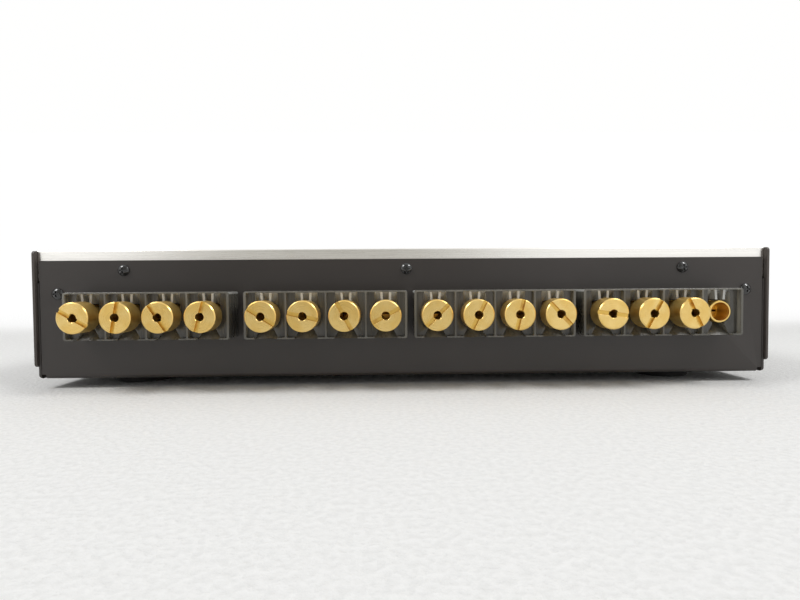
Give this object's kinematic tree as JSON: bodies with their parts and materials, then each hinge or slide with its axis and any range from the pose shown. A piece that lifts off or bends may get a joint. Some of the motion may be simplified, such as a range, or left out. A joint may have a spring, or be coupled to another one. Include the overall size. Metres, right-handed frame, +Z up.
{
  "type": "line selector",
  "caption": "Low full-width hi-fi line selector: smoked terminal blocks with gold screw knobs behind, one large stepped dial in front that turns a wafer switch.",
  "frame": {"origin": "under the middle of the whole object, on the surface that its feet stand on", "axes": "+X to the right seen from the front, +Y towards the terminals at the rear, +Z up"},
  "size_m": [0.438, 0.2304, 0.0825],
  "materials": {
    "case_paint": "satin dark brown-grey paint, very fine texture",
    "brushed_front": "brushed along its length, clear anodised",
    "brushed_top": "brushed along its width, clear anodised",
    "foot_rubber": "matt black",
    "black_screw": "black, slightly glossy",
    "gold": "gold plated, fine turned lines",
    "smoked_plastic": "smoked, dark olive-brown, slightly translucent",
    "insulator": "black fibre",
    "nut_brass": "plain turned brass",
    "tinned_brass": "tinned",
    "wire_cover": "red insulation",
    "plain_brass": "plain turned brass",
    "plated_steel": "zinc plated",
    "spring_steel": "polished spring steel",
    "wafer_board": "phenolic board, brown",
    "silvered_contact": "silver plated",
    "turned_dial": "turned and brushed, clear anodised"
  },
  "bodies": {
    "root": {"chassis_tray": "case_paint", "front_panel": "brushed_front", "top_plate": "brushed_top", "side_plate_left": "case_paint", "side_plate_right": "case_paint", "feet": "foot_rubber", "machine_screws": "black_screw", "terminal_block_1": "smoked_plastic", "terminal_block_2": "smoked_plastic", "terminal_block_3": "smoked_plastic", "terminal_block_4": "smoked_plastic", "terminal_posts": "gold", "post_insulators": "insulator", "post_nuts": "nut_brass", "solder_lugs": "tinned_brass", "terminal_wiring": "wire_cover", "front_bush": "plain_brass", "bush_nuts": "plated_steel", "switch_bracket": "plated_steel", "switch_frame": "plated_steel", "detent_spring": "spring_steel", "tie_rods": "plated_steel", "switch_wafers": "wafer_board", "wafer_contacts": "silvered_contact"},
    "selector": {"selector_dial": "turned_dial", "grub_screws": "black_screw", "drive_shaft": "plated_steel", "shaft_coupler": "plain_brass", "switch_spindle": "plated_steel", "wafer_rotors": "wafer_board"},
    "ring_01": {"clamp_ring_01": "gold"},
    "knob_01": {"terminal_knob_01": "gold"},
    "ring_02": {"clamp_ring_02": "gold"},
    "knob_02": {"terminal_knob_02": "gold"},
    "ring_03": {"clamp_ring_03": "gold"},
    "knob_03": {"terminal_knob_03": "gold"},
    "ring_04": {"clamp_ring_04": "gold"},
    "knob_04": {"terminal_knob_04": "gold"},
    "ring_05": {"clamp_ring_05": "gold"},
    "knob_05": {"terminal_knob_05": "gold"},
    "ring_06": {"clamp_ring_06": "gold"},
    "knob_06": {"terminal_knob_06": "gold"},
    "ring_07": {"clamp_ring_07": "gold"},
    "knob_07": {"terminal_knob_07": "gold"},
    "ring_08": {"clamp_ring_08": "gold"},
    "knob_08": {"terminal_knob_08": "gold"},
    "ring_09": {"clamp_ring_09": "gold"},
    "knob_09": {"terminal_knob_09": "gold"},
    "ring_10": {"clamp_ring_10": "gold"},
    "knob_10": {"terminal_knob_10": "gold"},
    "ring_11": {"clamp_ring_11": "gold"},
    "knob_11": {"terminal_knob_11": "gold"},
    "ring_12": {"clamp_ring_12": "gold"},
    "knob_12": {"terminal_knob_12": "gold"},
    "ring_13": {"clamp_ring_13": "gold"},
    "knob_13": {"terminal_knob_13": "gold"},
    "ring_14": {"clamp_ring_14": "gold"},
    "knob_14": {"terminal_knob_14": "gold"},
    "ring_15": {"clamp_ring_15": "gold"},
    "knob_15": {"terminal_knob_15": "gold"}
  },
  "joints": [
    {"name": "selector_turn", "type": "hinge", "parent": "root", "child": "selector", "pos_m": [0, -0.09425, 0.0436], "axis": [0, 1, 0], "range_deg": [0, 90], "deforming": ["detent_spring"]},
    {"name": "knob_01_travel", "type": "slide", "parent": "root", "child": "ring_01", "axis": [0, 1, 0], "range_m": [-0.00175, 0.003]},
    {"name": "knob_01_turn", "type": "hinge", "parent": "ring_01", "child": "knob_01", "pos_m": [0.1796, 0.11525, 0.0436], "axis": [0, 1, 0], "range_deg": [-630, 1080]},
    {"name": "knob_02_travel", "type": "slide", "parent": "root", "child": "ring_02", "axis": [0, 1, 0], "range_m": [-0.00175, 0.003]},
    {"name": "knob_02_turn", "type": "hinge", "parent": "ring_02", "child": "knob_02", "pos_m": [0.1571, 0.11525, 0.0436], "axis": [0, 1, 0], "range_deg": [-630, 1080]},
    {"name": "knob_03_travel", "type": "slide", "parent": "root", "child": "ring_03", "axis": [0, 1, 0], "range_m": [-0.00175, 0.003]},
    {"name": "knob_03_turn", "type": "hinge", "parent": "ring_03", "child": "knob_03", "pos_m": [0.1346, 0.11525, 0.0436], "axis": [0, 1, 0], "range_deg": [-630, 1080]},
    {"name": "knob_04_travel", "type": "slide", "parent": "root", "child": "ring_04", "axis": [0, 1, 0], "range_m": [-0.00175, 0.003]},
    {"name": "knob_04_turn", "type": "hinge", "parent": "ring_04", "child": "knob_04", "pos_m": [0.1121, 0.11525, 0.0436], "axis": [0, 1, 0], "range_deg": [-630, 1080]},
    {"name": "knob_05_travel", "type": "slide", "parent": "root", "child": "ring_05", "axis": [0, 1, 0], "range_m": [-0.00175, 0.003]},
    {"name": "knob_05_turn", "type": "hinge", "parent": "ring_05", "child": "knob_05", "pos_m": [0.0798, 0.11525, 0.0436], "axis": [0, 1, 0], "range_deg": [-630, 1080]},
    {"name": "knob_06_travel", "type": "slide", "parent": "root", "child": "ring_06", "axis": [0, 1, 0], "range_m": [-0.00175, 0.003]},
    {"name": "knob_06_turn", "type": "hinge", "parent": "ring_06", "child": "knob_06", "pos_m": [0.0573, 0.11525, 0.0436], "axis": [0, 1, 0], "range_deg": [-630, 1080]},
    {"name": "knob_07_travel", "type": "slide", "parent": "root", "child": "ring_07", "axis": [0, 1, 0], "range_m": [-0.00175, 0.003]},
    {"name": "knob_07_turn", "type": "hinge", "parent": "ring_07", "child": "knob_07", "pos_m": [0.0348, 0.11525, 0.0436], "axis": [0, 1, 0], "range_deg": [-630, 1080]},
    {"name": "knob_08_travel", "type": "slide", "parent": "root", "child": "ring_08", "axis": [0, 1, 0], "range_m": [-0.00175, 0.003]},
    {"name": "knob_08_turn", "type": "hinge", "parent": "ring_08", "child": "knob_08", "pos_m": [0.0123, 0.11525, 0.0436], "axis": [0, 1, 0], "range_deg": [-630, 1080]},
    {"name": "knob_09_travel", "type": "slide", "parent": "root", "child": "ring_09", "axis": [0, 1, 0], "range_m": [-0.00175, 0.003]},
    {"name": "knob_09_turn", "type": "hinge", "parent": "ring_09", "child": "knob_09", "pos_m": [-0.0158, 0.11525, 0.0436], "axis": [0, 1, 0], "range_deg": [-630, 1080]},
    {"name": "knob_10_travel", "type": "slide", "parent": "root", "child": "ring_10", "axis": [0, 1, 0], "range_m": [-0.00175, 0.003]},
    {"name": "knob_10_turn", "type": "hinge", "parent": "ring_10", "child": "knob_10", "pos_m": [-0.0383, 0.11525, 0.0436], "axis": [0, 1, 0], "range_deg": [-630, 1080]},
    {"name": "knob_11_travel", "type": "slide", "parent": "root", "child": "ring_11", "axis": [0, 1, 0], "range_m": [-0.00175, 0.003]},
    {"name": "knob_11_turn", "type": "hinge", "parent": "ring_11", "child": "knob_11", "pos_m": [-0.0608, 0.11525, 0.0436], "axis": [0, 1, 0], "range_deg": [-630, 1080]},
    {"name": "knob_12_travel", "type": "slide", "parent": "root", "child": "ring_12", "axis": [0, 1, 0], "range_m": [-0.00175, 0.003]},
    {"name": "knob_12_turn", "type": "hinge", "parent": "ring_12", "child": "knob_12", "pos_m": [-0.0833, 0.11525, 0.0436], "axis": [0, 1, 0], "range_deg": [-630, 1080]},
    {"name": "knob_13_travel", "type": "slide", "parent": "root", "child": "ring_13", "axis": [0, 1, 0], "range_m": [-0.00175, 0.003]},
    {"name": "knob_13_turn", "type": "hinge", "parent": "ring_13", "child": "knob_13", "pos_m": [-0.1121, 0.11525, 0.0436], "axis": [0, 1, 0], "range_deg": [-630, 1080]},
    {"name": "knob_14_travel", "type": "slide", "parent": "root", "child": "ring_14", "axis": [0, 1, 0], "range_m": [-0.00175, 0.003]},
    {"name": "knob_14_turn", "type": "hinge", "parent": "ring_14", "child": "knob_14", "pos_m": [-0.1346, 0.11525, 0.0436], "axis": [0, 1, 0], "range_deg": [-630, 1080]},
    {"name": "knob_15_travel", "type": "slide", "parent": "root", "child": "ring_15", "axis": [0, 1, 0], "range_m": [-0.00175, 0.003]},
    {"name": "knob_15_turn", "type": "hinge", "parent": "ring_15", "child": "knob_15", "pos_m": [-0.1571, 0.11525, 0.0436], "axis": [0, 1, 0], "range_deg": [-630, 1080]}
  ],
  "couplings": [
    {"joint": "knob_01_turn", "follows": "knob_01_travel", "rad_per_m": 6283.2},
    {"joint": "knob_02_turn", "follows": "knob_02_travel", "rad_per_m": 6283.2},
    {"joint": "knob_03_turn", "follows": "knob_03_travel", "rad_per_m": 6283.2},
    {"joint": "knob_04_turn", "follows": "knob_04_travel", "rad_per_m": 6283.2},
    {"joint": "knob_05_turn", "follows": "knob_05_travel", "rad_per_m": 6283.2},
    {"joint": "knob_06_turn", "follows": "knob_06_travel", "rad_per_m": 6283.2},
    {"joint": "knob_07_turn", "follows": "knob_07_travel", "rad_per_m": 6283.2},
    {"joint": "knob_08_turn", "follows": "knob_08_travel", "rad_per_m": 6283.2},
    {"joint": "knob_09_turn", "follows": "knob_09_travel", "rad_per_m": 6283.2},
    {"joint": "knob_10_turn", "follows": "knob_10_travel", "rad_per_m": 6283.2},
    {"joint": "knob_11_turn", "follows": "knob_11_travel", "rad_per_m": 6283.2},
    {"joint": "knob_12_turn", "follows": "knob_12_travel", "rad_per_m": 6283.2},
    {"joint": "knob_13_turn", "follows": "knob_13_travel", "rad_per_m": 6283.2},
    {"joint": "knob_14_turn", "follows": "knob_14_travel", "rad_per_m": 6283.2},
    {"joint": "knob_15_turn", "follows": "knob_15_travel", "rad_per_m": 6283.2}
  ]
}
